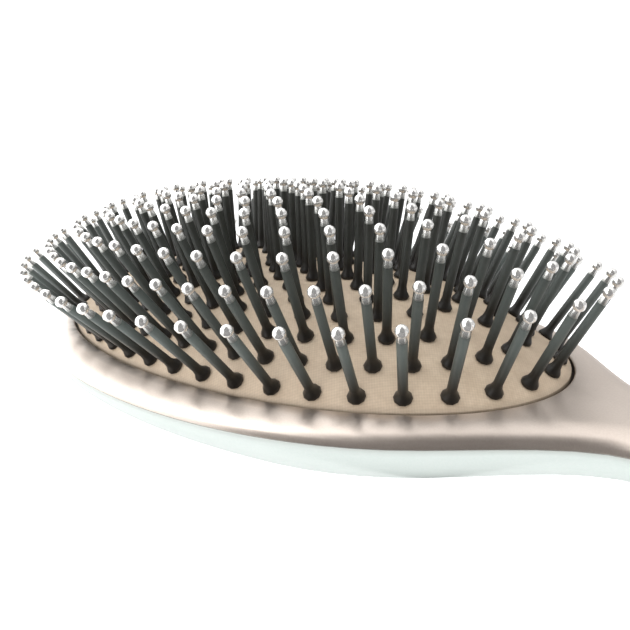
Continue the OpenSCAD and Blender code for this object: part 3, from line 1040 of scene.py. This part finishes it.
def grow_row(row, shape, finish):
    row_share, row_count = rows[row]
    grower = new_piece("grower", bpy.data.meshes.new("grower"))
    modifier = grower.modifiers.new("row", "NODES")
    modifier.node_group = pin_row
    values = {"Shape": shape, "Finish": finish, "Count": row_count, "Turn": 0.5 if row % 2 == 0 else 0.0,
              "Share": row_share, "Half Length": pad_l / 2 * MM, "Half Width": pad_w / 2 * MM,
              "Face Height": body_h * MM, "Rise": pad_rise * MM, "Lean": lean_share,
              "Seed": first_seed + row}
    for item in pin_row.interface.items_tree:
        if item.in_out == "INPUT" and item.name in values:
            modifier[item.identifier] = values[item.name]
    depsgraph = bpy.context.evaluated_depsgraph_get()
    mesh = bpy.data.meshes.new_from_object(grower.evaluated_get(depsgraph))
    bpy.data.objects.remove(grower)
    return mesh


def join_meshes(name, meshes):
    parts = [new_piece("part", mesh) for mesh in meshes]
    if len(parts) > 1:
        with bpy.context.temp_override(active_object=parts[0], selected_editable_objects=parts):
            bpy.ops.object.join()
    parts[0].name = name
    parts[0].data.name = name
    return parts[0]


print(sum(count for _, count in rows), "pins in", len(rows), "rows")

# %% [markdown]
# ## Pins and tips on their bodies
# One mesh for all pins would be simplest, but the six outer rows each slide by their own amount when
# the rubber is pressed, so each of them is a piece of its own. The four rows in the middle move
# together and are joined.

# %% Rows of pins and tips
OUTER_ROWS = 6
row_bodies = [(f"row_{i + 1}", [i]) for i in range(OUTER_ROWS)] + [("centre", range(OUTER_ROWS, len(rows)))]
for body, numbers in row_bodies:
    for kind, shape, finish, slot in (("pins", pin_shape, nylon, "pin_nylon"),
                                      ("tips", tip_shape, metal, "ball_tip")):
        piece = join_meshes(f"{body}_{kind}", [grow_row(n, shape, finish) for n in numbers])
        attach(piece, body)
        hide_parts(f"{kind}_{body}")
        print(piece.name, len(piece.data.polygons), "faces")
for shape in (pin_shape, tip_shape):
    bpy.data.objects.remove(shape)

# %% [markdown]
# ## Floor and sky
# The brush lies on a plain pale floor that glows like a light table, so it is white in the picture and
# lights the pale back of the brush. More lamps could whiten a floor too, but they would burn out the
# brush. A Light Path node lets the camera see floor and sky brighter than the brush does.

# %% Floor and sky
floor_glow, floor_seen = 0.55, 1.1
sky_glow, sky_seen = 0.55, 1.1
reach = 4.0
white = (1, 1, 1, 1)


def glow_for(tree, glow, seen, socket):
    """One strength of light for the camera and another for everything else."""
    camera_ray = tree.nodes.new("ShaderNodeLightPath").outputs["Is Camera Ray"]
    plug(tree, range_node(tree, camera_ray, 0, 1, glow, seen), socket)


floor_mesh = bpy.data.meshes.new("floor")
floor_mesh.from_pydata([(-reach, -reach, 0), (reach, -reach, 0), (reach, reach, 0), (-reach, reach, 0)], [],
                       [(0, 1, 2, 3)])
floor = new_piece("floor", floor_mesh)
pale, tree, shader = new_finish("pale_floor", (0.45, 0.45, 0.45), Roughness=0.9)
shader.inputs["Emission Color"].default_value = white
glow_for(tree, floor_glow, floor_seen, shader.inputs["Emission Strength"])
floor_mesh.materials.append(pale)

world = bpy.data.worlds.new("studio")
bpy.context.scene.world = world
world.use_nodes = True
sky = world.node_tree.nodes["Background"]
sky.inputs["Color"].default_value = white
glow_for(world.node_tree, sky_glow, sky_seen, sky.inputs["Strength"])
print("floor and sky:", floor_glow, sky_glow)

# %% [markdown]
# ## Lights
# Wide area lights give the soft, even light of a studio, where a spot or a sun would draw hard edges.
# The key light stands to the left, where the rim mirrors it, and a second light hangs above. A small
# low one on the camera's side lifts the fronts of the pins. It is hidden from reflections, so that the
# balls don't mirror it.

# %% Lights
def around(east, up, far, start=(0, 0, 0.01)):
    """A place seen from start at degrees east of -Y and degrees up, far metres away."""
    e, u = math.radians(east), math.radians(up)
    return Vector(start) + far * Vector((math.sin(e) * math.cos(u), -math.cos(e) * math.cos(u), math.sin(u)))


def soft_light(name, place, aim, width, height, radiance):
    lamp = bpy.data.lights.new(name, "AREA")
    lamp.shape = "RECTANGLE"
    lamp.size = width
    lamp.size_y = height
    lamp.energy = radiance * math.pi * width * height
    light = bpy.data.objects.new(name, lamp)
    light.location = place
    light.rotation_euler = (Vector(aim) - Vector(place)).to_track_quat("-Z", "Y").to_euler()
    bpy.context.scene.collection.objects.link(light)
    return light


soft_light("key", around(-62, 46, 0.6), (0, 0, 0.02), width=0.9, height=0.8, radiance=1.15)
soft_light("top", (0, 0.05, 0.5), (0, 0, 0.02), width=1.1, height=1.1, radiance=0.5)
fill = soft_light("fill", around(35, 8, 0.5), (0, 0, 0.01), width=0.5, height=0.25, radiance=2.2)
fill.visible_glossy = False

# %% [markdown]
# ## Cards for the reflections
# Polished rims and balls need something dark and something bright to mirror, or their form is lost. A
# studio has cards for that: a dark one, called a flag, and a glowing one, a bounce card. Ours lie on
# the floor round the head as arcs, and rise over it from their far edge. A dark disc stands behind the
# camera. They show only in reflections, and cast no shade or light on anything dull.

# %% Flag, bounce card and disc
CARD_POINTS, DISC_POINTS = 12, 24
card_centre = (0.01, -0.01, 0.0008)
disc_r, disc_behind = 0.036, 0.006


def card(name, points, faces, colour, glow=0.0):
    mesh = bpy.data.meshes.new(name)
    mesh.from_pydata([tuple(q) for q in points], [], faces)
    piece = new_piece(name, mesh)
    finish, _, card_shader = new_finish(name, colour, Roughness=0.9)
    card_shader.inputs["Emission Color"].default_value = white
    card_shader.inputs["Emission Strength"].default_value = glow
    mesh.materials.append(finish)
    piece.visible_camera = piece.visible_shadow = piece.visible_diffuse = False


def curved_card(name, first, last, near, rise, colour, glow=0.0, far=0.30):
    """A card on the floor from near to far metres out, which goes on up to rise degrees."""
    turns = np.linspace(first, last, CARD_POINTS)
    edges = ((0, near), (0, far), (rise, far))
    places = [around(turn, lift, out, card_centre) for lift, out in edges for turn in turns]
    bands = band_faces(CARD_POINTS, len(edges))
    open_bands = [face for k, face in enumerate(bands) if (k + 1) % CARD_POINTS]
    card(name, places, open_bands, colour, glow)


curved_card("flag", 14, 90, near=0.028, rise=84, colour=(0.07, 0.063, 0.063))
curved_card("bounce", -140, 6, near=0.045, rise=86, colour=(0.8, 0.8, 0.8), glow=1.7)
disc_centre = camera.matrix_world.translation - disc_behind * forward
disc_turns = np.linspace(0, 2 * math.pi, DISC_POINTS, endpoint=False)
disc = [disc_centre + disc_r * (right * math.cos(a) + up * math.sin(a)) for a in disc_turns]
card("camera_disc", disc, [tuple(range(DISC_POINTS))], (0.03, 0.03, 0.03))
print("cards: flag, bounce, camera_disc")
